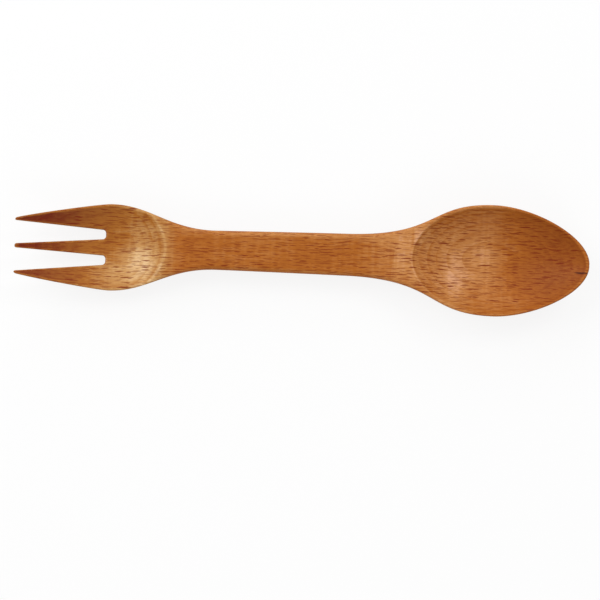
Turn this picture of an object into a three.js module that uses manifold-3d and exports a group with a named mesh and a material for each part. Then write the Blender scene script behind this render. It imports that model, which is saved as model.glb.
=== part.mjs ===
// A beech spoon and fork carved from one piece of wood: a three-tined fork at -X, a spoon at +X
// and a plain bar of a handle between them. Millimetres, +Z up. The piece lies on its two bellies,
// which touch z = 0, and its hollow side looks up.
import * as THREE from "three";
import { mergeVertices } from "three/addons/utils/BufferGeometryUtils.js";
import Module from "manifold-3d";

// Lengths along X
const FORK_LENGTH = 63; // tine tips to the end of the fork's neck
const HANDLE_LENGTH = 40; // the straight bar
const SPOON_LENGTH = 77; // end of the spoon's neck to the nose

// Handle
const FORK_END_WIDTH = 12.3; // across the bar, where it meets the fork's neck
const SPOON_END_WIDTH = 13.2; // across the bar, where it meets the spoon's neck
const HANDLE_THICKNESS = 6.3;
const HANDLE_LIFT = 2.9; // from the table up to the bar's underside
const HANDLE_TOP_ROUND = 1.6;
const HANDLE_UNDER_ROUND = 2.4;
const SPINE_BOW = 0.8; // how far the middle line bends aside over half the length
const SPINE_BOW_X = -10; // the place along X where the bend is furthest to +Y

// Fork
const FORK_WIDTH = 27.2;
const FORK_SHOULDER = 30; // tine tips to the widest place
const TINE_SPAN = 17.4; // across the outer tines at their tips
const OUTER_TIP_WIDTH = 0.8; // of an outer tine
const MIDDLE_TIP_WIDTH = 1.3; // of the middle tine
const TINE_TIP_THICKNESS = 1.4;
const TINE_TIP_ROUND = 0.35; // corner of a tine tip, seen from above
const TINE_END_ROUND = 0.45; // upper and lower corner of a tine tip, seen from the side
const TINE_RISE = 5.8; // how far the dish's floor climbs towards the tips
const FORK_FLOOR = 4.4; // wood under the dish at its lowest
const FORK_EDGE = 1.6; // height of the fork's outer edge above its belly's curve
const FORK_EDGE_ROUND = 0.9; // upper corner of the outer edge at the shoulder
const FORK_TIP_EDGE_ROUND = 0.45; // and at the tine tips
const FORK_BELLY = 33; // tine tips to the underside's lowest place
const FORK_ROUND_START = 65; // tine tips to where the handle's section starts to turn into a head's
const FORK_ROUND_END = 38; // tine tips to where it has done so
const DISH_EDGE = 47.2; // tine tips to the crisp edge where the dish starts in the handle
const DISH_LOWEST = 35; // tine tips to the dish's lowest place
const DISH_RADIUS = 24; // the dish's hollow, across the fork
const SLOT_LENGTH = 28.2;
const SLOT_ROOT_WIDTH = 3;
const SLOT_CORNER_ROUND = 1.1; // corners of the slot's root, seen from above
const SLOT_SPACING = 8.1; // between the middles of the two slots at their roots
const SLOT_EDGE_ROUND = 0.55; // at the slot's root; it shrinks towards the tips

// Spoon
const SPOON_WIDTH = 34.8;
const NOSE_LENGTH = 30; // widest place to the nose
const SPOON_FLOOR = 3.8; // wood under the bowl at its deepest
const BOWL_DEPTH = 8;
const BOWL_FULLNESS = 0.85; // 1 is a parabola, and less has a flatter floor and steeper sides
const NOSE_POINT = 1.8; // 2 is an ellipse, and less is more pointed
const RIM_WIDTH = 0.75; // beside the bowl
const NOSE_RIM_WIDTH = 1; // at the nose
const BOWL_BACK_LENGTH = 25.4; // widest place to the bowl's crisp edge on the handle side
const RIM_RISE = 0.6; // how much higher the rim is at the nose than beside the bowl
const SPOON_EDGE = 2; // height of the spoon's outer edge above its belly's curve
const SPOON_EDGE_ROUND = 0.55; // upper corner of the outer edge
const SPOON_BELLY = 33; // nose to the underside's lowest place
const SPOON_ROUND_START = 73; // nose to where the handle's section starts to turn into a head's
const SPOON_ROUND_END = 41; // nose to where it has done so
const RAMP_LENGTH = 20; // the rise from the handle's top to the rim
const RAMP_LAP = 6.5; // how far the ramp goes on rising past the bowl's crisp edge

// Both heads
const BELLY_FLAT_SHARE = 0.03; // of the width, the level strip along the belly
const BELLY_FULLNESS = 1.65; // 2 is a round belly, and less has straighter sides

// How far a cutter reaches past the wood
const CUT_BEYOND = 3;

// Fineness of the surfaces
const CORNER_STEPS = 4;
const BELLY_STEPS = 10;
const BOWL_RINGS = 11;
const BOWL_SIDES = 56;
const DISH_STEPS = 18;
const SLOT_CORNER_STEPS = 4;
const SLOT_EDGE_STEPS = 7;

// Places along X that follow from the lengths
const LENGTH = FORK_LENGTH + HANDLE_LENGTH + SPOON_LENGTH;
const tipX = -LENGTH / 2;
const noseX = LENGTH / 2;
const shoulderX = tipX + FORK_SHOULDER;
const barStartX = tipX + FORK_LENGTH;
const barEndX = noseX - SPOON_LENGTH;
const widestX = noseX - NOSE_LENGTH;
const dishEdgeX = tipX + DISH_EDGE;
const dishLowestX = tipX + DISH_LOWEST;
const forkBellyX = tipX + FORK_BELLY;
const slotRootX = tipX + SLOT_LENGTH - SLOT_CORNER_ROUND;
const bowlBackX = widestX - BOWL_BACK_LENGTH;
const rampEndX = bowlBackX + RAMP_LAP;
const rampStartX = rampEndX - RAMP_LENGTH;
const spoonBellyX = noseX - SPOON_BELLY;

// Heights that follow from the thicknesses
const handleTop = HANDLE_LIFT + HANDLE_THICKNESS;
const rimHeight = SPOON_FLOOR + BOWL_DEPTH;
const noseHeight = rimHeight + RIM_RISE;
const tineTipHeight = FORK_FLOOR + TINE_RISE;

const wasm = await Module();
wasm.setup();

function lerp(a, b, t) {
  return a + (b - a) * t;
}

function smoothstep(x, from, to) {
  return THREE.MathUtils.smoothstep(x, from, to);
}

// How far a rounded end falls away, at a distance from that end
function endRound(distance, radius) {
  const short = THREE.MathUtils.clamp(radius - distance, 0, radius);
  return radius - Math.sqrt(radius ** 2 - short ** 2);
}

// Curves

function bezier(...corners) {
  const [a, b, c, d] = corners.map(([x, y]) => new THREE.Vector2(x, y));
  return new THREE.CubicBezierCurve(a, b, c, d);
}

// A curve that leaves one point and reaches the next one level
function levelCurve([x0, y0], [x1, y1], startShare, endShare) {
  const run = x1 - x0;
  return bezier([x0, y0], [x0 + run * startShare, y0], [x1 - run * endShare, y1], [x1, y1]);
}

// Curves joined from left to right, read as one height over x
class Line {
  constructor(...curves) {
    this.curves = curves;
  }

  at(x) {
    const curve = this.curves.find((c) => x <= c.v3.x) ?? this.curves.at(-1);
    let low = 0;
    let high = 1;
    while (high - low > 1e-7) {
      const middle = (low + high) / 2;
      if (curve.getPoint(middle).x < x) low = middle;
      else high = middle;
    }
    return curve.getPoint(high).y;
  }

  // Places along X, as many for each curve as steps names
  stations(steps) {
    const inner = this.curves.flatMap((curve, i) =>
      curve.getPoints(steps[i]).slice(1).map((point) => point.x),
    );
    return [this.curves[0].v0.x, ...inner];
  }
}

// The outline from above, as a half width over x
const halfWidth = new Line(
  bezier(
    [tipX, TINE_SPAN / 2 - TINE_TIP_ROUND],
    [tipX, TINE_SPAN / 2 - TINE_TIP_ROUND / 2],
    [tipX + TINE_TIP_ROUND, TINE_SPAN / 2],
    [tipX + 2.5 * TINE_TIP_ROUND, TINE_SPAN / 2 + TINE_TIP_ROUND / 2],
  ),
  bezier(
    [tipX + 2.5 * TINE_TIP_ROUND, TINE_SPAN / 2 + TINE_TIP_ROUND / 2],
    [lerp(tipX, shoulderX, 0.25), lerp(TINE_SPAN, FORK_WIDTH, 0.36) / 2],
    [lerp(tipX, shoulderX, 0.88), FORK_WIDTH / 2],
    [shoulderX, FORK_WIDTH / 2],
  ),
  levelCurve([shoulderX, FORK_WIDTH / 2], [barStartX, FORK_END_WIDTH / 2], 0.37, 0.46),
  bezier(
    [barStartX, FORK_END_WIDTH / 2],
    [lerp(barStartX, barEndX, 1 / 3), lerp(FORK_END_WIDTH, SPOON_END_WIDTH, 1 / 3) / 2],
    [lerp(barStartX, barEndX, 2 / 3), lerp(FORK_END_WIDTH, SPOON_END_WIDTH, 2 / 3) / 2],
    [barEndX, SPOON_END_WIDTH / 2],
  ),
  levelCurve([barEndX, SPOON_END_WIDTH / 2], [widestX, SPOON_WIDTH / 2], 0.65, 0.45),
  bezier(
    [widestX, SPOON_WIDTH / 2],
    [widestX + 0.43 * NOSE_LENGTH, SPOON_WIDTH / 2],
    [noseX, 0.25 * SPOON_WIDTH],
    [noseX, 0.3],
  ),
);

// The dish's floor along the middle, from the tine tips to where it leaves the handle's top
const dishFloor = new Line(
  bezier(
    [tipX, tineTipHeight],
    [lerp(tipX, dishLowestX, 0.34), lerp(tineTipHeight, FORK_FLOOR, 0.55)],
    [lerp(tipX, dishLowestX, 0.69), FORK_FLOOR],
    [dishLowestX, FORK_FLOOR],
  ),
  bezier(
    [dishLowestX, FORK_FLOOR],
    [lerp(dishLowestX, dishEdgeX, 0.3), FORK_FLOOR],
    [lerp(dishLowestX, dishEdgeX, 0.66), lerp(FORK_FLOOR, handleTop, 0.62)],
    [dishEdgeX, handleTop],
  ),
);

function dishHeight(x, y) {
  const across = (y * y) / (2 * DISH_RADIUS);
  const onFork = Math.max(x, tipX);
  const atTip = endRound(onFork - tipX, TINE_END_ROUND);
  if (x <= dishEdgeX) return dishFloor.at(onFork) + across - atTip;
  const slope = dishFloor.curves[1].getTangent(1);
  return handleTop + ((x - dishEdgeX) * slope.y) / slope.x + across;
}

// How far the cutters of the fork reach to the side and up
const cutReach = FORK_WIDTH / 2 + CUT_BEYOND;
const cutEndX = dishEdgeX + CUT_BEYOND;
const cutRoof = Math.max(dishHeight(tipX, cutReach), dishHeight(cutEndX, cutReach)) + CUT_BEYOND;

// The underside along the middle
const underside = new Line(
  bezier(
    [tipX, tineTipHeight - TINE_TIP_THICKNESS],
    [lerp(tipX, dishLowestX, 0.34), 0.47 * (tineTipHeight - TINE_TIP_THICKNESS)],
    [lerp(tipX, dishLowestX, 0.69), 0],
    [forkBellyX, 0],
  ),
  levelCurve([forkBellyX, 0], [barStartX, HANDLE_LIFT], 0.4, 0.4),
  levelCurve([barStartX, HANDLE_LIFT], [barEndX, HANDLE_LIFT], 0.3, 0.3),
  levelCurve([barEndX, HANDLE_LIFT], [spoonBellyX, 0], 0.5, 0.36),
  bezier(
    [spoonBellyX, 0],
    [lerp(spoonBellyX, noseX, 0.52), 0],
    [lerp(spoonBellyX, noseX, 0.95), 0.6 * (noseHeight - SPOON_EDGE)],
    [noseX, noseHeight - SPOON_EDGE],
  ),
);

// The upper side of the blank along the middle, before the hollows are cut
const ramp = new Line(
  levelCurve([rampStartX, handleTop], [rampEndX, rimHeight], 0.45, 0.35),
  levelCurve([rampEndX, rimHeight], [noseX, noseHeight], 0.6, 0.2),
);

// The upper corner's radius along a head's outer edge
function edgeRound(x) {
  if (x > 0) return SPOON_EDGE_ROUND;
  return lerp(FORK_TIP_EDGE_ROUND, FORK_EDGE_ROUND, smoothstep(x, tipX, shoulderX));
}

function blankTop(x) {
  if (x >= rampStartX) return ramp.at(x);
  const forkEdge = dishHeight(x, halfWidth.at(x)) + edgeRound(x) / 2;
  return x < dishLowestX ? forkEdge : Math.min(handleTop, forkEdge);
}

// 0 on the handle and 1 on a head, where the belly is round from edge to edge
function headShare(x) {
  const fork = smoothstep(-x, -tipX - FORK_ROUND_START, -tipX - FORK_ROUND_END);
  const spoon = smoothstep(x, noseX - SPOON_ROUND_START, noseX - SPOON_ROUND_END);
  return Math.max(fork, spoon);
}

// How far aside the middle line lies
function spine(x) {
  return -SPINE_BOW * ((x - SPINE_BOW_X) / (LENGTH / 2)) ** 2;
}

// One cross-section of the blank: half width, heights and the two corners
function sectionAt(x) {
  const head = headShare(x);
  const width = halfWidth.at(x);
  const top = blankTop(x) - endRound(noseX - x, SPOON_EDGE_ROUND);
  const bottom = underside.at(x) + endRound(x - tipX, TINE_END_ROUND);
  const edge = x < 0 ? FORK_EDGE : SPOON_EDGE;
  const room = top - bottom;
  return {
    width,
    top,
    bottom,
    topRound: Math.min(lerp(HANDLE_TOP_ROUND, edgeRound(x), head), 0.6 * width),
    bellyWidth: lerp(HANDLE_UNDER_ROUND, (1 - BELLY_FLAT_SHARE) * width, head),
    bellyHeight: lerp(HANDLE_UNDER_ROUND, Math.max(room - edge, 0.3 * room), head),
    fullness: lerp(2, BELLY_FULLNESS, head),
  };
}

// The height of the underside at any point
function bellyHeightAt(x, y) {
  const s = sectionAt(x);
  const inset = Math.abs(y) - (s.width - s.bellyWidth);
  const share = THREE.MathUtils.clamp(inset / s.bellyWidth, 0, 1);
  return s.bottom + s.bellyHeight * (1 - (1 - share ** s.fullness) ** (1 / s.fullness));
}

// A ring round one cross-section, counter-clockwise seen from +X
function sectionRing(x) {
  const s = sectionAt(x);
  const side = [];
  for (let i = 0; i <= BELLY_STEPS; i++) {
    const turn = (Math.PI / 2) * (i / BELLY_STEPS);
    const out = Math.sin(turn) ** (2 / s.fullness);
    const up = 1 - Math.cos(turn) ** (2 / s.fullness);
    side.push([s.width - s.bellyWidth * (1 - out), s.bottom + s.bellyHeight * up]);
  }
  for (let i = 0; i <= CORNER_STEPS; i++) {
    const turn = (Math.PI / 2) * (i / CORNER_STEPS);
    const out = s.width - s.topRound * (1 - Math.cos(turn));
    side.push([out, s.top - s.topRound * (1 - Math.sin(turn))]);
  }
  const otherSide = side.map(([y, z]) => [-y, z]).reverse();
  return [...side, ...otherSide].map(([y, z]) => new THREE.Vector3(x, y + spine(x), z));
}

// Solids

// A closed body through rings of as many points each, with a flat cap at both ends
function loft(rings, flatten) {
  const count = rings[0].length;
  const faces = [];
  for (let r = 0; r < rings.length - 1; r++) {
    for (let i = 0; i < count; i++) {
      const a = r * count + i;
      const b = r * count + ((i + 1) % count);
      faces.push(a, b, b + count, a, b + count, a + count);
    }
  }
  addCap(faces, rings[0].map(flatten), 0, -1);
  addCap(faces, rings.at(-1).map(flatten), (rings.length - 1) * count, 1);
  const geometry = new THREE.BufferGeometry().setFromPoints(rings.flat());
  geometry.setIndex(faces);
  return solidFrom(geometry);
}

function addCap(faces, outline, first, facing) {
  for (const [a, b, c] of THREE.ShapeUtils.triangulateShape(outline, [])) {
    const corners = [outline[a], outline[b], outline[c]];
    const turned = Math.sign(THREE.ShapeUtils.area(corners)) === facing;
    faces.push(first + a, first + (turned ? b : c), first + (turned ? c : b));
  }
}

function solidFrom(geometry) {
  const merged = mergeVertices(geometry, 1e-4);
  return new wasm.Manifold(
    new wasm.Mesh({
      numProp: 3,
      vertProperties: merged.attributes.position.array,
      triVerts: new Uint32Array(merged.index.array),
    }),
  );
}

const seenAlongX = (p) => new THREE.Vector2(p.y, p.z);
const seenFromAbove = (p) => new THREE.Vector2(p.x, p.y);

function makeBlank() {
  return loft(halfWidth.stations([3, 10, 14, 6, 16, 16]).map(sectionRing), seenAlongX);
}

// The bowl's rim from its middle: an ellipse behind, a slightly pointed one towards the nose
function bowlRim(turn) {
  const side = SPOON_WIDTH / 2 - RIM_WIDTH;
  const towardsNose = Math.cos(turn) > 0;
  const reach = towardsNose ? NOSE_LENGTH - NOSE_RIM_WIDTH : BOWL_BACK_LENGTH;
  const power = towardsNose ? 2 / NOSE_POINT : 1;
  const x = reach * Math.sign(Math.cos(turn)) * Math.abs(Math.cos(turn)) ** power;
  const y = side * Math.sign(Math.sin(turn)) * Math.abs(Math.sin(turn)) ** power;
  return [x, y];
}

// The bowl's cutter: rings from the floor out to the rim, and one more above the rim
function makeBowlCutter() {
  const rings = [];
  for (let k = 1; k <= BOWL_RINGS + 1; k++) {
    const share = Math.min(k / BOWL_RINGS, 1);
    const above = k > BOWL_RINGS ? CUT_BEYOND : 0;
    const spread = share + above / SPOON_WIDTH;
    const sunk = BOWL_DEPTH * (1 - share ** 2) ** BOWL_FULLNESS;
    const ring = [];
    for (let i = 0; i < BOWL_SIDES; i++) {
      const [dx, dy] = bowlRim((2 * Math.PI * i) / BOWL_SIDES);
      const x = widestX + dx * spread;
      const z = ramp.at(Math.min(x, noseX)) - sunk + above;
      ring.push(new THREE.Vector3(x, dy * spread + spine(x), z));
    }
    rings.push(ring);
  }
  return loft(rings, seenFromAbove);
}

function makeDishCutter() {
  const rings = [];
  const places = [tipX - CUT_BEYOND, tipX, tipX + 0.1 * TINE_END_ROUND, tipX + 0.4 * TINE_END_ROUND];
  for (let i = 0; i <= DISH_STEPS; i++) {
    places.push(lerp(tipX + TINE_END_ROUND, cutEndX, i / DISH_STEPS));
  }
  for (const x of places) {
    const ring = [];
    for (let k = 0; k <= DISH_STEPS; k++) {
      const y = lerp(-cutReach, cutReach, k / DISH_STEPS);
      ring.push(new THREE.Vector3(x, y + spine(x), dishHeight(x, y)));
    }
    ring.push(new THREE.Vector3(x, cutReach + spine(x), cutRoof));
    ring.push(new THREE.Vector3(x, -cutReach + spine(x), cutRoof));
    rings.push(ring);
  }
  return loft(rings, seenAlongX);
}

// The middle line and half width of a slot, which widens from its root to its mouth
function slotAt(x) {
  const inner = MIDDLE_TIP_WIDTH / 2;
  const outer = TINE_SPAN / 2 - OUTER_TIP_WIDTH;
  const root = SLOT_ROOT_WIDTH / 2;
  const toMouth = (slotRootX - Math.max(x, tipX)) / (slotRootX - tipX);
  return {
    middle: lerp(SLOT_SPACING / 2, (inner + outer) / 2, toMouth),
    half: lerp(root, (outer - inner) / 2, toMouth),
  };
}

// A slot's outline about its middle line, from one side of its mouth round the root to the
// other, with the outward direction at each point
function slotOutline() {
  const root = SLOT_ROOT_WIDTH / 2;
  const lean = Math.atan((slotAt(tipX).half - root) / (slotRootX - tipX));
  const straightX = tipX + TINE_TIP_ROUND;
  const places = [tipX - CUT_BEYOND, tipX - TINE_TIP_ROUND];
  for (let i = 0; i < 4; i++) {
    places.push(lerp(tipX, straightX, (i / 3) ** 2));
  }
  for (let i = 1; i < SLOT_EDGE_STEPS; i++) {
    places.push(lerp(straightX, slotRootX, i / SLOT_EDGE_STEPS));
  }
  const half = places.map((x) => {
    const flare = 0.8 * endRound(x - tipX, TINE_TIP_ROUND);
    return { x, y: slotAt(x).half + flare, outX: 0, outY: 1 };
  });
  for (let i = 0; i <= SLOT_CORNER_STEPS; i++) {
    const turn = lerp(Math.PI / 2 - lean, 0, i / SLOT_CORNER_STEPS);
    const outX = Math.cos(turn);
    const outY = Math.sin(turn);
    const x = slotRootX + SLOT_CORNER_ROUND * outX;
    half.push({ x, y: root - SLOT_CORNER_ROUND * (1 - outY), outX, outY });
  }
  const otherHalf = half.map((p) => ({ ...p, y: -p.y, outY: -p.outY })).reverse();
  return [...half, ...otherHalf].reverse();
}

// The slot's cutter follows the tines' upper and lower faces, and rounds the edges between
function makeSlotCutter(side) {
  const outline = slotOutline();
  const under = (x, y) => bellyHeightAt(x, y);
  const upper = (x, y) => dishHeight(x, y);
  const steps = [
    { face: () => -CUT_BEYOND, out: 1.2, up: 0 },
    { face: under, out: 1, up: -0.1 },
    { face: under, out: 0.3, up: 0.3 },
    { face: under, out: 0, up: 1 },
    { face: upper, out: 0, up: -1 },
    { face: upper, out: 0.3, up: -0.3 },
    { face: upper, out: 1, up: 0.1 },
    { face: () => cutRoof, out: 1.2, up: 0 },
  ];
  const rings = steps.map((step) =>
    outline.map((p) => {
      const inward = THREE.MathUtils.clamp((p.x - tipX) / SLOT_LENGTH, 0, 1);
      const round = SLOT_EDGE_ROUND * lerp(0.35, 1, inward);
      const x = p.x + p.outX * step.out * round;
      const y = side * slotAt(p.x).middle + p.y + p.outY * step.out * round;
      const onFork = Math.max(x, tipX);
      return new THREE.Vector3(x, y + spine(onFork), step.face(onFork, y) + step.up * round);
    }),
  );
  return loft(rings, seenFromAbove);
}

function makeSpoonFork() {
  let body = makeBlank().subtract(makeBowlCutter()).subtract(makeDishCutter());
  for (const side of [-1, 1]) {
    body = body.subtract(makeSlotCutter(side));
  }
  const mesh = body.getMesh();
  const geometry = new THREE.BufferGeometry();
  geometry.setAttribute("position", new THREE.BufferAttribute(mesh.vertProperties, 3));
  geometry.setIndex(new THREE.BufferAttribute(mesh.triVerts, 1));
  geometry.computeBoundingBox();
  const { min, max } = geometry.boundingBox;
  geometry.translate(-(min.x + max.x) / 2, -(min.y + max.y) / 2, -min.z);
  geometry.computeVertexNormals();
  return geometry;
}

const beech = new THREE.MeshStandardMaterial({ color: 0xb37741, roughness: 0.55, metalness: 0 });
const spoonFork = new THREE.Mesh(makeSpoonFork(), beech);
spoonFork.name = "spoon_fork";

const part = new THREE.Group();
part.add(spoonFork);

export default part;
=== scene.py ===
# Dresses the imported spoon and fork: a fine mesh on the carved form's exact surface, in beech with
# growth rings, ray flecks and pores, lying on a pale floor under soft lamps and seen from above.
# The carved form's lengths are in millimetres, as are those of the wood's figure and of the view.
# The lamps, the floor and all that Blender gets are in metres.
import math

import bpy
import numpy as np
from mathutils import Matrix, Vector


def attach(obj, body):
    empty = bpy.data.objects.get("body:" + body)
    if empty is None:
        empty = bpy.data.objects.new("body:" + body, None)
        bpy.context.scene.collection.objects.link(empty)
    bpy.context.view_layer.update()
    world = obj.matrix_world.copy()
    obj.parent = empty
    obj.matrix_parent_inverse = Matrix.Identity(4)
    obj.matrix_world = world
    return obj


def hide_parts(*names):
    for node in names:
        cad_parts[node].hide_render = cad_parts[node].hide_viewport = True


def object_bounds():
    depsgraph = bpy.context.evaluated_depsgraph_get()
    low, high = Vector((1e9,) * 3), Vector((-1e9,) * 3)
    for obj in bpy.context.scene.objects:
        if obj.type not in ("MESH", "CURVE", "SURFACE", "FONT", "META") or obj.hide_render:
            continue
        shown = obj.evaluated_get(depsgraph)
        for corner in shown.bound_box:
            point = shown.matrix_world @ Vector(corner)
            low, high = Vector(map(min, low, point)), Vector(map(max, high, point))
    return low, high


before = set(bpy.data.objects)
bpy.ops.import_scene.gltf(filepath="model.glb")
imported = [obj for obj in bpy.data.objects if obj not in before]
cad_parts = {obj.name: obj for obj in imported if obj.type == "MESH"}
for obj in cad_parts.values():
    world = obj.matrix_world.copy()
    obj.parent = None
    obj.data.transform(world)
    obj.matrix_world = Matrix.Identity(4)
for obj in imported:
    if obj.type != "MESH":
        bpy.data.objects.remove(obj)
cad_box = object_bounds()

MM = 0.001
NODE = "spoon_fork"

# The carved form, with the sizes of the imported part. Lengths along the fork start at the tine tips,
# and lengths along the spoon start at its nose or its widest place.
FORK_LENGTH = 63
HANDLE_LENGTH = 40
SPOON_LENGTH = 77

FORK_END_WIDTH = 12.3
SPOON_END_WIDTH = 13.2
HANDLE_THICKNESS = 6.3
HANDLE_LIFT = 2.9
HANDLE_TOP_ROUND = 1.6
HANDLE_UNDER_ROUND = 2.4
SPINE_BOW = 0.8
SPINE_BOW_X = -10

FORK_WIDTH = 27.2
FORK_SHOULDER = 30
TINE_SPAN = 17.4
OUTER_TIP_WIDTH = 0.8
MIDDLE_TIP_WIDTH = 1.3
TINE_TIP_THICKNESS = 1.4
TINE_TIP_ROUND = 0.35
TINE_RISE = 5.8
FORK_FLOOR = 4.4
FORK_EDGE = 1.6
FORK_EDGE_ROUND = 0.9
FORK_TIP_EDGE_ROUND = 0.45
FORK_BELLY = 33
FORK_ROUND_START = 65
FORK_ROUND_END = 38
DISH_EDGE = 47.2
DISH_LOWEST = 35
DISH_RADIUS = 24
SLOT_LENGTH = 28.2
SLOT_ROOT_WIDTH = 3
SLOT_CORNER_ROUND = 1.1
SLOT_SPACING = 8.1
SLOT_EDGE_ROUND = 0.55

SPOON_WIDTH = 34.8
NOSE_LENGTH = 30
SPOON_FLOOR = 3.8
BOWL_DEPTH = 8
BOWL_FULLNESS = 0.85
NOSE_POINT = 1.8
RIM_WIDTH = 0.75
NOSE_RIM_WIDTH = 1
BOWL_BACK_LENGTH = 25.4
RIM_RISE = 0.6
SPOON_EDGE = 2
SPOON_EDGE_ROUND = 0.55
SPOON_BELLY = 33
SPOON_ROUND_START = 73
SPOON_ROUND_END = 41
RAMP_LENGTH = 20
RAMP_LAP = 6.5

BELLY_FLAT_SHARE = 0.03
BELLY_FULLNESS = 1.65

# The least width of a belly's round, its least share of the height, and how fast the outline
# closes beyond the nose
LEAST_CORNER = 0.2
LEAST_CORNER_SHARE = 0.3
CLOSING_BEYOND_NOSE = 20

# Crispness of the cut edges
DISH_EDGE_ROUND = 0.2
BOWL_EDGE_ROUND = 0.35
TINE_END_ROUND = 0.6
SLOT_TIP_ROUND_SHARE = 0.35

# Places along X
LENGTH = FORK_LENGTH + HANDLE_LENGTH + SPOON_LENGTH
TIP_X = -LENGTH / 2
NOSE_X = LENGTH / 2
SHOULDER_X = TIP_X + FORK_SHOULDER
BAR_START_X = TIP_X + FORK_LENGTH
BAR_END_X = NOSE_X - SPOON_LENGTH
WIDEST_X = NOSE_X - NOSE_LENGTH
DISH_EDGE_X = TIP_X + DISH_EDGE
DISH_LOWEST_X = TIP_X + DISH_LOWEST
FORK_BELLY_X = TIP_X + FORK_BELLY
SLOT_ROOT_X = TIP_X + SLOT_LENGTH - SLOT_CORNER_ROUND
BOWL_BACK_X = WIDEST_X - BOWL_BACK_LENGTH
RAMP_END_X = BOWL_BACK_X + RAMP_LAP
RAMP_START_X = RAMP_END_X - RAMP_LENGTH
SPOON_BELLY_X = NOSE_X - SPOON_BELLY

# Heights
HANDLE_TOP = HANDLE_LIFT + HANDLE_THICKNESS
RIM_HEIGHT = SPOON_FLOOR + BOWL_DEPTH
NOSE_HEIGHT = RIM_HEIGHT + RIM_RISE
TINE_TIP_HEIGHT = FORK_FLOOR + TINE_RISE

# The fine mesh: remeshed, laid on the form, evened out, and then thinned where the form is flat
VOXEL = 0.25
KEPT_SHARE = 0.46
PROJECT_STEPS = 6
RELAX_STEPS = 6
RELAX_SHARE = 0.5
LONGEST_MOVE = 0.4
LEAST_SLOPE = 0.2
LEAST_STEEPNESS = 1e-6
SLOPE_STEP = 0.02
CURVE_POINTS = 1500
TINY = 1e-12

# Where handling has worn the edges paler, and where a painted highlight lies along the rounded edges:
# the reach that a bulge is felt over, the bulge of a fully worn edge, and the share of the painted
# shade that is lifted there
WEAR_REACH = 0.3
WORN_BULGE = 0.08
PAINTED_SHADE_LIFTED = 0.6

# Patches of painted light and shade, above 0 lighter and below 0 darker: painted highlights and sheen
# on the fork's dish, the ramp and the bowl, painted light and shade on the walls and along the
# handle's edges, and darker tine tips and nose. Each patch's middle along and across, its reach along
# and across, and how much. The patches fade out on the faces that stand upright.
UPRIGHT, LEVEL = 0, 0.5
PAINTED_LIGHT_AND_SHADE_PATCHES = [
    (-49.5, -4.4, 5, 6.5, 0.55),
    (-50, 1, 9, 16, 0.3),
    (-61, -8, 9, 7, 0.34),
    (-88, 0, 20, 30, -0.85),
    (-76, 10, 12, 4, -0.25),
    (-72, -9, 16, 4, 0.13),
    (-5, 6.3, 34, 1.3, 0.36),
    (-5, -5.6, 34, 1.3, 0.15),
    (30, 0, 7, 9, 0.46),
    (35.5, 8.5, 3, 3.5, 0.22),
    (39, 3, 5, 12, 0.17),
    (43, -2, 11, 22, 0.28),
    (48, -5, 3.8, 6.5, 0.35),
    (57, -2, 8, 12, 0.34),
    (57, 12, 12, 8, 0.15),
    (66, -13, 9, 4, 0.15),
    (80, 1, 13, 18, -0.28),
]

# The grain sways slowly and wavers quickly: the size of a swing along, across and up, and how far
# aside it reaches
SWAY = {"size": (30, 14, 20), "reach": 2.4}
WAVER = {"size": (1.6, 3, 3), "reach": 0.35}

# Growth rings lie level. Each darkens over the late part of its year, and ends sharply.
RING_SPACING = 1.25
RING_HEIGHT = 9.9
RING_WARP = {"size": (40, 16, 30), "reach": 0.9}
RING_DARKENS = (0.45, 0.93)
RING_ENDS = (0.94, 1.0)
RING_PATCH_SIZE = (11, 9, 2.4)
RING_PATCH_NOISE = (0.35, 0.65)
RING_FAINTEST = 0.35

# Rays run along the grain as thin upright ribbons, one in each cell. Side faces show them weakly.
LONG_RAYS = {
    "cell": (4.2, 1.1, 4),
    "length": (1.4, 3.4),
    "width": (0.18, 0.32),
    "height": 4,
    "shift": (0.0, 0.0, 0.0),
    "strength": 0.92,
}
SHORT_RAYS = {
    "cell": (2.5, 0.7, 3),
    "length": (0.7, 1.6),
    "width": (0.1, 0.18),
    "height": 3,
    "shift": (37.0, 11.0, 5.0),
    "strength": 0.6,
}
RAY_FAINTEST = 0.45
SIDE_FACING = (0.5, 0.95)
SIDE_FACE_SHARE = 0.35

# The dark split at the spoon's nose
CRACK_MIDDLE = (87.6, -2.6, 11.5)
CRACK_LENGTH = 3
CRACK_WIDTH = 0.45
CRACK_HEIGHT = 3.5
CRACK_STRENGTH = 0.9

# The share of a fleck or a crack over which it fades out
SPOT_SOFTNESS = 0.6

# The finer figure: sizes, and the span of noise that is put to use
FIBRE_SIZE = (7, 0.4, 0.8)
FIBRE_DETAIL = 3
FIBRE_CRISPNESS = 0.6
FIBRE_NOISE = (0.25, 0.75)
CLOUD_SIZE = (26, 8, 6)
CLOUD_NOISE = (0.2, 0.8)
CHATTER_SIZE = (1.2, 14, 14)
CHATTER_NOISE = (0.3, 0.7)
CARVED_SIZE = (9, 4, 4)
PORE_SIZE = (1.4, 0.12, 0.16)
PORE_NOISE = (0.3, 0.7)
END_FACING = (0.2, 0.9)

# How much each thing makes the wood paler, above 0, or darker. The wear tones are partly real wear
# and partly a painted highlight along the rounded edges.
WEAR_AND_EDGE_HIGHLIGHT_TONE = 0.1
FORK_WEAR_AND_EDGE_HIGHLIGHT_TONE = 0.12
FIBRE_TONE = (-0.15, 0.09)
CLOUD_TONE = (-0.12, 0.12)
CHATTER_TONE = (-0.04, 0.04)
RING_TONE = -0.15
END_GRAIN_TONE = -0.35

# A painted sheen, a highlight painted into the colour of the palest places: the tone that it starts
# at, and how fast it grows
SHEEN_START = 0.4
SHEEN_GROWTH = 0.8

# The fork's wood is a little yellower, up to its neck
FORK_COLOUR_ENDS = (-44.0, -38.0)

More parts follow.
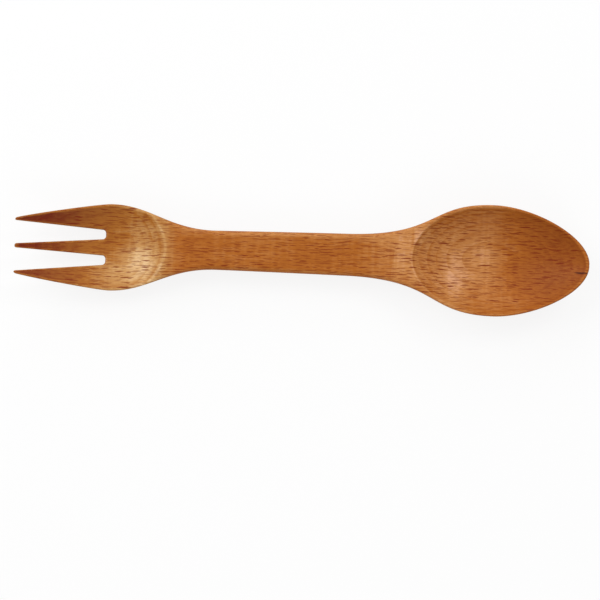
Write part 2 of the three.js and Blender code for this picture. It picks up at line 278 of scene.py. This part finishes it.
# The surface
ROUGHNESS = (0.46, 0.6)
RAY_ROUGHNESS = 0.1
GLOSS = 0.15
CARVED_DEPTH = 0.12
FIBRE_DEPTH = 0.02
PORE_DEPTH = 0.012
MARK_DEPTH = 0.015

# The floor shows white, with a faint shadow
FLOOR_SIZE = 4
FLOOR_GLOW = 0.85
FLOOR_GREY = 0.85
FLOOR_ROUGHNESS = 0.9

# Soft lamps and the room's light
SOFTBOXES = {
    "left_softbox": {"place": (-0.62, 0.39, 0.68), "size": 0.7, "power": 4.8},
    "right_softbox": {"place": (0.47, 0.5, 0.73), "size": 0.4, "power": 2.2},
    "far_softbox": {"place": (-0.1, 0.95, 0.4), "size": 0.5, "power": 2.2},
    "near_softbox": {"place": (0.25, -0.75, 0.6), "size": 0.5, "power": 1.5},
}
ROOM_LIGHT = 0.5

# The photograph looks straight down, with the utensil above its middle and turned a little
VIEW_WIDTH = 187.76
VIEW_TURN = math.radians(1.9374)
VIEW_MIDDLE = (0.0, -14.28, 10.5)
VIEW_DISTANCE = 800
SENSOR_WIDTH = 36


# Curves

def lerp(a, b, t):
    return a + (b - a) * t


def smoothstep(x, start, end):
    t = np.clip((x - start) / (end - start), 0, 1)
    return t * t * (3 - 2 * t)


def bezier(*corners):
    t = np.linspace(0, 1, CURVE_POINTS)[:, None]
    a, b, c, d = (np.array(corner, float) for corner in corners)
    return (1 - t) ** 3 * a + 3 * (1 - t) ** 2 * t * b + 3 * (1 - t) * t**2 * c + t**3 * d


# A curve that leaves its start level and arrives level
def level_curve(start, end, start_share, end_share):
    run = end[0] - start[0]
    leave = (start[0] + run * start_share, start[1])
    reach = (end[0] - run * end_share, end[1])
    return bezier(start, leave, reach, end)


# Curves end to end, as a function of the place along X
def line(*curves):
    points = np.concatenate(curves)
    return lambda x: np.interp(x, points[:, 0], points[:, 1])


# The outline, the dish's floor, the underside and the ramp. The shares in these curves say how far
# along the way their handles lie.

half_width = line(
    bezier(
        (TIP_X, TINE_SPAN / 2 - TINE_TIP_ROUND),
        (TIP_X, TINE_SPAN / 2 - TINE_TIP_ROUND / 2),
        (TIP_X + TINE_TIP_ROUND, TINE_SPAN / 2),
        (TIP_X + 2.5 * TINE_TIP_ROUND, TINE_SPAN / 2 + TINE_TIP_ROUND / 2),
    ),
    bezier(
        (TIP_X + 2.5 * TINE_TIP_ROUND, TINE_SPAN / 2 + TINE_TIP_ROUND / 2),
        (lerp(TIP_X, SHOULDER_X, 0.25), lerp(TINE_SPAN, FORK_WIDTH, 0.36) / 2),
        (lerp(TIP_X, SHOULDER_X, 0.88), FORK_WIDTH / 2),
        (SHOULDER_X, FORK_WIDTH / 2),
    ),
    level_curve((SHOULDER_X, FORK_WIDTH / 2), (BAR_START_X, FORK_END_WIDTH / 2), 0.37, 0.46),
    np.array([(BAR_START_X, FORK_END_WIDTH / 2), (BAR_END_X, SPOON_END_WIDTH / 2)]),
    level_curve((BAR_END_X, SPOON_END_WIDTH / 2), (WIDEST_X, SPOON_WIDTH / 2), 0.65, 0.45),
    bezier(
        (WIDEST_X, SPOON_WIDTH / 2),
        (WIDEST_X + 0.43 * NOSE_LENGTH, SPOON_WIDTH / 2),
        (NOSE_X, 0.25 * SPOON_WIDTH),
        (NOSE_X, 0.3),
    ),
)

dish_wall = bezier(
    (DISH_LOWEST_X, FORK_FLOOR),
    (lerp(DISH_LOWEST_X, DISH_EDGE_X, 0.3), FORK_FLOOR),
    (lerp(DISH_LOWEST_X, DISH_EDGE_X, 0.66), lerp(FORK_FLOOR, HANDLE_TOP, 0.62)),
    (DISH_EDGE_X, HANDLE_TOP),
)
dish_floor = line(
    bezier(
        (TIP_X, TINE_TIP_HEIGHT),
        (lerp(TIP_X, DISH_LOWEST_X, 0.34), lerp(TINE_TIP_HEIGHT, FORK_FLOOR, 0.55)),
        (lerp(TIP_X, DISH_LOWEST_X, 0.69), FORK_FLOOR),
        (DISH_LOWEST_X, FORK_FLOOR),
    ),
    dish_wall,
)
dish_run, dish_climb = dish_wall[-1] - dish_wall[-2]
dish_slope = dish_climb / dish_run

underside = line(
    bezier(
        (TIP_X, TINE_TIP_HEIGHT - TINE_TIP_THICKNESS),
        (lerp(TIP_X, DISH_LOWEST_X, 0.34), 0.47 * (TINE_TIP_HEIGHT - TINE_TIP_THICKNESS)),
        (lerp(TIP_X, DISH_LOWEST_X, 0.69), 0),
        (FORK_BELLY_X, 0),
    ),
    level_curve((FORK_BELLY_X, 0), (BAR_START_X, HANDLE_LIFT), 0.4, 0.4),
    level_curve((BAR_END_X, HANDLE_LIFT), (SPOON_BELLY_X, 0), 0.5, 0.36),
    bezier(
        (SPOON_BELLY_X, 0),
        (lerp(SPOON_BELLY_X, NOSE_X, 0.52), 0),
        (lerp(SPOON_BELLY_X, NOSE_X, 0.95), 0.6 * (NOSE_HEIGHT - SPOON_EDGE)),
        (NOSE_X, NOSE_HEIGHT - SPOON_EDGE),
    ),
)

ramp = line(
    level_curve((RAMP_START_X, HANDLE_TOP), (RAMP_END_X, RIM_HEIGHT), 0.45, 0.35),
    level_curve((RAMP_END_X, RIM_HEIGHT), (NOSE_X, NOSE_HEIGHT), 0.6, 0.2),
)


def dish_height(x, y):
    beyond = np.maximum(x - DISH_EDGE_X, 0)
    return dish_floor(x) + beyond * dish_slope + y**2 / (2 * DISH_RADIUS)


def edge_round(x):
    fork = lerp(FORK_TIP_EDGE_ROUND, FORK_EDGE_ROUND, smoothstep(x, TIP_X, SHOULDER_X))
    return np.where(x > 0, SPOON_EDGE_ROUND, fork)


def blank_top(x):
    fork_edge = dish_height(x, half_width(x)) + edge_round(x) / 2
    fork_top = np.where(x < DISH_LOWEST_X, fork_edge, np.minimum(HANDLE_TOP, fork_edge))
    return np.where(x < RAMP_START_X, fork_top, ramp(x))


# 0 along the handle and 1 at the middle of a head
def head_share(x):
    fork = smoothstep(-x, -TIP_X - FORK_ROUND_START, -TIP_X - FORK_ROUND_END)
    spoon = smoothstep(x, NOSE_X - SPOON_ROUND_START, NOSE_X - SPOON_ROUND_END)
    return np.maximum(fork, spoon)


def spine_bow(x):
    return -SPINE_BOW * ((x - SPINE_BOW_X) / (LENGTH / 2)) ** 2


# The middle line, with the spoon's widest place centred
def spine(x):
    return spine_bow(x) - spine_bow(WIDEST_X)


# The form as distances in millimetres, below zero inside the wood

def side_distance(x, y, z):
    head = head_share(x)
    width = half_width(x) - CLOSING_BEYOND_NOSE * np.maximum(x - NOSE_X, 0)
    bottom = underside(x)
    room = blank_top(x) - bottom
    edge = np.where(x < 0, FORK_EDGE, SPOON_EDGE)
    head_width = np.maximum((1 - BELLY_FLAT_SHARE) * width, LEAST_CORNER)
    head_height = np.maximum(room - edge, LEAST_CORNER_SHARE * room)
    corner_width = lerp(HANDLE_UNDER_ROUND, head_width, head)
    corner_height = lerp(HANDLE_UNDER_ROUND, head_height, head)
    fullness = lerp(2, BELLY_FULLNESS, head)
    out = np.maximum(np.abs(y) - width + corner_width, 0) / corner_width
    down = np.maximum(bottom + corner_height - z, 0) / corner_height
    return (out**fullness + down**fullness + TINY) ** (1 / fullness) - 1


def bowl_distance(x, y, z):
    dx = x - WIDEST_X
    side = SPOON_WIDTH / 2 - RIM_WIDTH
    behind = np.hypot(dx / BOWL_BACK_LENGTH, y / side)
    ahead_x = np.maximum(dx, 0) / (NOSE_LENGTH - NOSE_RIM_WIDTH)
    ahead = ahead_x**NOSE_POINT + np.abs(y / side) ** NOSE_POINT
    share = np.where(dx > 0, (ahead + TINY) ** (1 / NOSE_POINT), behind)
    inside = 1 - share**2
    sunk = BOWL_DEPTH * np.sign(inside) * np.abs(inside) ** BOWL_FULLNESS
    return z - ramp(np.minimum(x, NOSE_X)) + sunk


def slot_distance(x, y, side):
    inner = MIDDLE_TIP_WIDTH / 2
    outer = TINE_SPAN / 2 - OUTER_TIP_WIDTH
    root = SLOT_ROOT_WIDTH / 2
    mouth = (outer - inner) / 2
    to_mouth = (SLOT_ROOT_X - x) / (SLOT_ROOT_X - TIP_X)
    middle = lerp(SLOT_SPACING / 2, (inner + outer) / 2, to_mouth)
    across = np.abs(y - side * middle)
    lean = math.atan((mouth - root) / (SLOT_ROOT_X - TIP_X))
    wall = (across - lerp(root, mouth, to_mouth)) * math.cos(lean)
    past_x = x - SLOT_ROOT_X
    past_y = across - (root - SLOT_CORNER_ROUND)
    corner = np.hypot(np.maximum(past_x, 0), np.maximum(past_y, 0))
    corner += np.minimum(np.maximum(past_x, past_y), 0) - SLOT_CORNER_ROUND
    return np.where(x > SLOT_ROOT_X, corner, wall)


def form_parts(points):
    x = points[:, 0]
    y = points[:, 1] - spine(x)
    z = points[:, 2]
    return np.array([
        side_distance(x, y, z),
        z - blank_top(x),
        z - dish_height(x, y),
        bowl_distance(x, y, z),
        -slot_distance(x, y, 1),
        -slot_distance(x, y, -1),
        TIP_X - x,
    ])


# What lies inside both a and b, with the edge between them rounded
def round_cut(a, b, radius):
    corner = np.hypot(np.maximum(radius + a, 0), np.maximum(radius + b, 0))
    return np.minimum(-radius, np.maximum(a, b)) + corner


def join_parts(parts, x):
    side, top, dish, bowl, slot_a, slot_b, end = parts
    inward = np.clip((x - TIP_X) / SLOT_LENGTH, 0, 1)
    slot_round = SLOT_EDGE_ROUND * lerp(SLOT_TIP_ROUND_SHARE, 1, inward)
    side_round = lerp(HANDLE_TOP_ROUND, edge_round(x), head_share(x))
    upper = round_cut(top, dish, DISH_EDGE_ROUND)
    upper = round_cut(upper, bowl, BOWL_EDGE_ROUND)
    form = round_cut(side, upper, side_round)
    form = round_cut(form, slot_a, slot_round)
    form = round_cut(form, slot_b, slot_round)
    return round_cut(form, end, TINE_END_ROUND)


# The form's parts a step ahead and a step behind along each axis
def parts_around(points, step):
    return [
        (form_parts(points + offset), form_parts(points - offset))
        for offset in step * np.eye(3)
    ]


def steepness(around, step):
    slopes = [(ahead - behind) / (2 * step) for ahead, behind in around]
    return np.maximum(np.sqrt(sum(slope**2 for slope in slopes)), LEAST_STEEPNESS)


# The form's distance at each point, and the slope of that distance
def form_distance(points):
    step = SLOPE_STEP
    x = points[:, 0]
    around = parts_around(points, step)
    steep = steepness(around, step)
    distance = join_parts(form_parts(points) / steep, x)
    gradient = [
        (join_parts(ahead / steep, x + step * (axis == 0))
         - join_parts(behind / steep, x - step * (axis == 0))) / (2 * step)
        for axis, (ahead, behind) in enumerate(around)
    ]
    return distance, np.stack(gradient, axis=1)


# How much the wood falls away around each point: 0 on a flat face and a third on a sharp edge
def bulge_at(points, reach):
    x = points[:, 0]
    steep = steepness(parts_around(points, SLOPE_STEP), SLOPE_STEP)
    here = join_parts(form_parts(points) / steep, x)
    around = []
    for ahead, behind in parts_around(points, reach):
        around += [join_parts(ahead / steep, x), join_parts(behind / steep, x)]
    return (sum(around) / len(around) - here) / reach


# Moves points onto the form's surface
def project(points, steps):
    for _ in range(steps):
        distance, gradient = form_distance(points)
        length = np.maximum((gradient**2).sum(axis=1), LEAST_SLOPE)
        move = np.clip(distance, -LONGEST_MOVE, LONGEST_MOVE) / length
        points = points - gradient * move[:, None]
    return points


# The fine mesh

# A copy of a mesh after one modifier
def modified(mesh, kind, **settings):
    source = bpy.data.objects.new("source", mesh)
    bpy.context.scene.collection.objects.link(source)
    modifier = source.modifiers.new("change", kind)
    for name, value in settings.items():
        setattr(modifier, name, value)
    bpy.context.view_layer.update()
    evaluated = source.evaluated_get(bpy.context.evaluated_depsgraph_get())
    changed = bpy.data.meshes.new_from_object(evaluated)
    bpy.data.objects.remove(source)
    return changed


def points_of(mesh):
    points = np.empty(len(mesh.vertices) * 3)
    mesh.vertices.foreach_get("co", points)
    return points.reshape(-1, 3) / MM


def move_points(mesh, points):
    mesh.vertices.foreach_set("co", (points * MM).ravel())
    mesh.update()


def edges_of(mesh):
    edges = np.empty(len(mesh.edges) * 2, int)
    mesh.edges.foreach_get("vertices", edges)
    return edges.reshape(-1, 2)


def neighbour_mean(values, edges):
    count = np.bincount(edges.ravel(), minlength=len(values))
    columns = []
    for column in values.T:
        total = np.bincount(edges[:, 0], column[edges[:, 1]], len(values))
        total += np.bincount(edges[:, 1], column[edges[:, 0]], len(values))
        columns.append(total / count)
    return np.stack(columns, axis=1)


def relax(points, edges):
    for _ in range(RELAX_STEPS):
        points = project(lerp(points, neighbour_mean(points, edges), RELAX_SHARE), 1)
    return project(points, 2)


def wear_and_edge_highlight_at(points):
    return np.clip(bulge_at(points, WEAR_REACH) / WORN_BULGE, 0, 1)


def painted_light_and_shade_at(points, normals, wear_and_edge_highlight):
    x, y, _ = points.T
    tone_and_painted_light = np.zeros(len(points))
    for middle_x, middle_y, reach_x, reach_y, painted_amount in PAINTED_LIGHT_AND_SHADE_PATCHES:
        tone_and_painted_light += painted_amount * np.exp(-((x - middle_x) / reach_x) ** 2 - ((y - middle_y) / reach_y) ** 2)
    # The painted shade is partly lifted on the rounded edges
    tone_and_painted_light = np.where(tone_and_painted_light < 0, tone_and_painted_light * (1 - PAINTED_SHADE_LIFTED * wear_and_edge_highlight), tone_and_painted_light)
    return tone_and_painted_light * smoothstep(normals[:, 2], UPRIGHT, LEVEL)


def add_values(mesh, name, values):
    attribute = mesh.attributes.new(name, "FLOAT", "POINT")
    attribute.data.foreach_set("value", values.astype(np.float32))


def fine_mesh():
    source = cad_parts[NODE].data.copy()
    mesh = modified(source, "REMESH", mode="VOXEL", voxel_size=VOXEL * MM)
    points = project(points_of(mesh), PROJECT_STEPS)
    move_points(mesh, relax(points, edges_of(mesh)))
    mesh = modified(mesh, "DECIMATE", ratio=KEPT_SHARE)
    low, high = (np.array(corner) / MM for corner in cad_box)
    move_points(mesh, np.clip(project(points_of(mesh), 1), low, high))
    mesh.materials.clear()
    return mesh


def make_utensil():
    mesh = fine_mesh()
    points = points_of(mesh)
    _, normals = form_distance(points)
    normals /= np.linalg.norm(normals, axis=1)[:, None]
    mesh.polygons.foreach_set("use_smooth", np.ones(len(mesh.polygons), bool))
    mesh.normals_split_custom_set_from_vertices(normals)
    # The edge wear, which also carries the painted highlight along the rounded edges
    wear_and_edge_highlight = wear_and_edge_highlight_at(points)
    add_values(mesh, "wear_and_edge_highlight", wear_and_edge_highlight)
    # The patches of painted light and shade, as a point attribute
    add_values(mesh, "tone_and_painted_light", painted_light_and_shade_at(points, normals, wear_and_edge_highlight))
    piece = bpy.data.objects.new("utensil", mesh)
    bpy.context.scene.collection.objects.link(piece)
    return piece


# Materials

def srgb(red, green, blue):
    levels = (red / 255, green / 255, blue / 255)
    linear = [v / 12.92 if v <= 0.04045 else ((v + 0.055) / 1.055) ** 2.4 for v in levels]
    return (*linear, 1)


# The wood's colours. The pale and dark colours serve both the wood's own paler and darker figure and
# the painted light and shade; the sheen colours are a painted highlight.
BEECH = srgb(166, 94, 28)
BEECH_PALE = srgb(220, 165, 104)
FORK_BEECH = srgb(165, 101, 35)
FORK_PALE = srgb(224, 185, 124)
BEECH_SHEEN = srgb(232, 182, 166)
FORK_SHEEN = srgb(222, 192, 160)
BEECH_DARK = srgb(108, 32, 2)
RAY_COLOUR = srgb(116, 34, 2)
CRACK_COLOUR = srgb(70, 18, 2)


class Nodes:
    """Adds shader nodes to one material and links them."""

    def __init__(self, material):
        self.tree = material.node_tree

    def fill(self, socket, value):
        if isinstance(value, bpy.types.NodeSocket):
            self.tree.links.new(value, socket)
        else:
            socket.default_value = value

    def add(self, kind, inputs, **settings):
        node = self.tree.nodes.new("ShaderNode" + kind)
        for name, value in settings.items():
            setattr(node, name, value)
        for name, value in inputs.items():
            self.fill(node.inputs[name], value)
        return node

    def math(self, operation, *values, clamp=False):
        inputs = dict(enumerate(values))
        return self.add("Math", inputs, operation=operation, use_clamp=clamp).outputs[0]

    def vector(self, operation, *values):
        inputs = dict(enumerate(values))
        return self.add("VectorMath", inputs, operation=operation).outputs[0]

    def split(self, vector):
        return self.add("SeparateXYZ", {0: vector}).outputs

    def join(self, x, y, z):
        return self.add("CombineXYZ", {0: x, 1: y, 2: z}).outputs[0]

    def add_up(self, first, *others):
        total = first
        for value in others:
            total = self.math("ADD", total, value)
        return total

    def between(self, value, start, end, low=0.0, high=1.0):
        inputs = {"Value": value, "From Min": start, "From Max": end, "To Min": low, "To Max": high}
        return self.add("MapRange", inputs, interpolation_type="SMOOTHSTEP").outputs[0]

    def noise(self, place, size, detail=2, rough=0.5):
        stretched = self.vector("DIVIDE", place, size)
        inputs = {"Vector": stretched, "Scale": 1, "Detail": detail, "Roughness": rough}
        return self.add("TexNoise", inputs).outputs[0]

    def wander(self, place, size, reach):
        swing = self.math("SUBTRACT", self.noise(place, size, 1), 0.5)
        return self.math("MULTIPLY", swing, reach)

    def blend(self, share, first, second):
        inputs = {0: share, 6: first, 7: second}
        return self.add("Mix", inputs, data_type="RGBA").outputs[2]

    def value_of(self, name):
        return self.add("Attribute", {}, attribute_name=name).outputs["Fac"]

    def bump(self, height, depth, normal=None):
        inputs = {"Height": height, "Distance": depth * MM, "Strength": 1}
        if normal is not None:
            inputs["Normal"] = normal
        return self.add("Bump", inputs).outputs[0]


# Where each point lies in the wood, with the grain straightened out
def grain_place(nodes):
    metres = nodes.add("TexCoord", {}).outputs["Object"]
    place = nodes.vector("DIVIDE", metres, (MM, MM, MM))
    aside = nodes.math("ADD", nodes.wander(place, **SWAY), nodes.wander(place, **WAVER))
    return nodes.vector("ADD", place, nodes.join(0.0, aside, 0.0))


def growth_rings(nodes, place):
    height = nodes.math("ADD", nodes.split(place)[2], nodes.wander(place, **RING_WARP))
    years = nodes.math("DIVIDE", nodes.math("SUBTRACT", height, RING_HEIGHT), RING_SPACING)
    part = nodes.math("FRACT", years)
    late = nodes.between(part, *RING_DARKENS)
    late = nodes.math("MULTIPLY", late, nodes.between(part, *RING_ENDS, 1.0, 0.0))
    patches = nodes.noise(place, RING_PATCH_SIZE, 1)
    patchy = nodes.between(patches, *RING_PATCH_NOISE, RING_FAINTEST, 1.0)
    return nodes.math("MULTIPLY", late, patchy)


# A soft spot that is pointed along and up, and thin across
def spindle(nodes, offset, length, width, height):
    along, across, up = (nodes.math("ABSOLUTE", value) for value in nodes.split(offset))
    along = nodes.math("POWER", nodes.math("DIVIDE", along, length), 2.0)
    up = nodes.math("POWER", nodes.math("DIVIDE", up, height), 2.0)
    across = nodes.math("DIVIDE", across, width)
    room = nodes.math("SUBTRACT", 1.0, nodes.math("ADD", along, up))
    return nodes.between(nodes.math("SUBTRACT", room, across), 0.0, SPOT_SOFTNESS)


def ray_flecks(nodes, place, rays):
    cells = nodes.vector("DIVIDE", nodes.vector("ADD", place, rays["shift"]), rays["cell"])
    nearest = nodes.add("TexVoronoi", {"Vector": cells, "Scale": 1, "Randomness": 1})
    offset = nodes.vector("SUBTRACT", cells, nearest.outputs["Position"])
    offset = nodes.vector("MULTIPLY", offset, rays["cell"])
    chance_a, chance_b, chance_c = nodes.split(nearest.outputs["Color"])
    length = nodes.between(chance_a, 0.0, 1.0, *rays["length"])
    width = nodes.between(chance_b, 0.0, 1.0, *rays["width"])
    fleck = spindle(nodes, offset, length, width, rays["height"])
    fleck = nodes.math("MULTIPLY", fleck, nodes.between(chance_c, 0.0, 1.0, RAY_FAINTEST, 1.0))
    return nodes.math("MULTIPLY", fleck, rays["strength"])


def nose_crack(nodes, place):
    offset = nodes.vector("SUBTRACT", place, CRACK_MIDDLE)
    return spindle(nodes, offset, CRACK_LENGTH, CRACK_WIDTH, CRACK_HEIGHT)


# How much paler, above 0, or darker the wood is, with the patches of painted light and shade and the
# painted highlight along the rounded edges added in
def beech_tone_and_painted_light(nodes, place, fibres, facing_x, face_on, on_fork):
    # Real wear and a painted highlight, both along the rounded edges
    worn_and_highlit = nodes.math("MULTIPLY_ADD", on_fork, FORK_WEAR_AND_EDGE_HIGHLIGHT_TONE, WEAR_AND_EDGE_HIGHLIGHT_TONE)
    chatter = nodes.between(nodes.noise(place, CHATTER_SIZE, 1), *CHATTER_NOISE, *CHATTER_TONE)
    end_grain = nodes.between(nodes.math("ABSOLUTE", facing_x), *END_FACING)
    return nodes.add_up(
        nodes.value_of("tone_and_painted_light"),
        nodes.math("MULTIPLY", nodes.value_of("wear_and_edge_highlight"), worn_and_highlit),
        nodes.between(fibres, *FIBRE_NOISE, *FIBRE_TONE),
        nodes.between(nodes.noise(place, CLOUD_SIZE), *CLOUD_NOISE, *CLOUD_TONE),
        nodes.math("MULTIPLY", chatter, face_on),
        nodes.math("MULTIPLY", growth_rings(nodes, place), RING_TONE),
        nodes.math("MULTIPLY", end_grain, END_GRAIN_TONE),
    )


def beech_colour(nodes, tone_and_painted_light, on_fork):
    plain = nodes.blend(on_fork, BEECH, FORK_BEECH)
    pale = nodes.blend(on_fork, BEECH_PALE, FORK_PALE)
    sheen = nodes.blend(on_fork, BEECH_SHEEN, FORK_SHEEN)
    colour = nodes.blend(nodes.math("ADD", tone_and_painted_light, 1.0, clamp=True), BEECH_DARK, plain)
    colour = nodes.blend(nodes.math("ADD", tone_and_painted_light, 0.0, clamp=True), colour, pale)
    # Past the sheen's start the colour goes towards the painted sheen, a highlight painted into the
    # base colour
    above = nodes.math("SUBTRACT", tone_and_painted_light, SHEEN_START)
    return nodes.blend(nodes.math("MULTIPLY", above, SHEEN_GROWTH, clamp=True), colour, sheen)


# The carved waves, the fibres, the pores, and the rays and the crack, which are sunk
def beech_relief(nodes, place, fibres, pores, marks):
    carved = nodes.bump(nodes.noise(place, CARVED_SIZE, 1), CARVED_DEPTH)
    grooved = nodes.bump(fibres, FIBRE_DEPTH, carved)
    pored = nodes.bump(pores, PORE_DEPTH, grooved)
    return nodes.bump(marks, -MARK_DEPTH, pored)


def make_beech():
    material = bpy.data.materials.new("beech")
    material.use_nodes = True
    nodes = Nodes(material)
    surface = material.node_tree.nodes["Principled BSDF"]
    place = grain_place(nodes)
    facing_x, facing_y, _ = nodes.split(nodes.add("TexCoord", {}).outputs["Normal"])
    side_on = nodes.math("ABSOLUTE", facing_y)
    face_on = nodes.between(side_on, *SIDE_FACING, 1.0, SIDE_FACE_SHARE)
    on_fork = nodes.between(nodes.split(place)[0], *FORK_COLOUR_ENDS, 1.0, 0.0)
    fibres = nodes.noise(place, FIBRE_SIZE, FIBRE_DETAIL, FIBRE_CRISPNESS)
    pores = nodes.noise(place, PORE_SIZE)

    long_rays = ray_flecks(nodes, place, LONG_RAYS)
    short_rays = ray_flecks(nodes, place, SHORT_RAYS)
    rays = nodes.math("MULTIPLY", nodes.math("MAXIMUM", long_rays, short_rays), face_on)
    crack = nose_crack(nodes, place)

    tone_and_painted_light = beech_tone_and_painted_light(nodes, place, fibres, facing_x, face_on, on_fork)
    colour = nodes.blend(rays, beech_colour(nodes, tone_and_painted_light, on_fork), RAY_COLOUR)
    dark_crack = nodes.math("MULTIPLY", crack, CRACK_STRENGTH)
    nodes.fill(surface.inputs["Base Color"], nodes.blend(dark_crack, colour, CRACK_COLOUR))

    rough = nodes.between(pores, *PORE_NOISE, *ROUGHNESS)
    rough = nodes.math("ADD", rough, nodes.math("MULTIPLY", rays, RAY_ROUGHNESS))
    nodes.fill(surface.inputs["Roughness"], rough)
    surface.inputs["Specular IOR Level"].default_value = GLOSS
    marks = nodes.math("MAXIMUM", rays, crack)
    nodes.fill(surface.inputs["Normal"], beech_relief(nodes, place, fibres, pores, marks))
    return material


def make_floor_material():
    material = bpy.data.materials.new("pale_floor")
    material.use_nodes = True
    nodes = Nodes(material)
    surface = material.node_tree.nodes["Principled BSDF"]
    surface.inputs["Base Color"].default_value = (FLOOR_GREY, FLOOR_GREY, FLOOR_GREY, 1)
    surface.inputs["Roughness"].default_value = FLOOR_ROUGHNESS
    surface.inputs["Specular IOR Level"].default_value = 0
    glow = nodes.add("Emission", {"Color": (1, 1, 1, 1), "Strength": 1}).outputs[0]
    path = nodes.add("LightPath", {}).outputs
    seen = nodes.math("MAXIMUM", path["Is Camera Ray"], path["Is Glossy Ray"])
    seen = nodes.math("MAXIMUM", seen, path["Is Transmission Ray"])
    share = nodes.math("MULTIPLY", seen, FLOOR_GLOW)
    mixed = nodes.add("MixShader", {0: share, 1: surface.outputs[0], 2: glow}).outputs[0]
    nodes.fill(material.node_tree.nodes["Material Output"].inputs["Surface"], mixed)
    return material


def make_floor():
    bpy.ops.mesh.primitive_plane_add(size=FLOOR_SIZE, location=(0, 0, 0))
    floor = bpy.context.object
    floor.name = "floor"
    floor.data.materials.append(make_floor_material())


# Light and camera

def add_lamp(name, place, size, power):
    lamp = bpy.data.lights.new(name, "AREA")
    lamp.shape = "DISK"
    lamp.size = size
    lamp.energy = power
    lamp_object = bpy.data.objects.new(name, lamp)
    lamp_object.location = place
    lamp_object.rotation_euler = (-Vector(place)).to_track_quat("-Z", "Y").to_euler()
    bpy.context.scene.collection.objects.link(lamp_object)


def make_light():
    for name, settings in SOFTBOXES.items():
        add_lamp(name, **settings)
    world = bpy.data.worlds.new("soft_room")
    world.use_nodes = True
    background = world.node_tree.nodes["Background"]
    background.inputs["Color"].default_value = (1, 1, 1, 1)
    background.inputs["Strength"].default_value = ROOM_LIGHT
    bpy.context.scene.world = world


def make_camera():
    camera = bpy.data.cameras.new("camera")
    camera.sensor_width = SENSOR_WIDTH
    camera.lens = SENSOR_WIDTH * VIEW_DISTANCE / VIEW_WIDTH
    camera_object = bpy.data.objects.new("camera", camera)
    x, y, z = VIEW_MIDDLE
    camera_object.location = (x * MM, y * MM, (z + VIEW_DISTANCE) * MM)
    camera_object.rotation_euler = (0, 0, VIEW_TURN)
    bpy.context.scene.collection.objects.link(camera_object)
    bpy.context.scene.camera = camera_object


def make_scene():
    utensil = make_utensil()
    utensil.data.materials.append(make_beech())
    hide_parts(NODE)
    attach(utensil, "root")
    make_floor()
    make_light()
    make_camera()
    bpy.context.scene.view_settings.view_transform = "Standard"


make_scene()
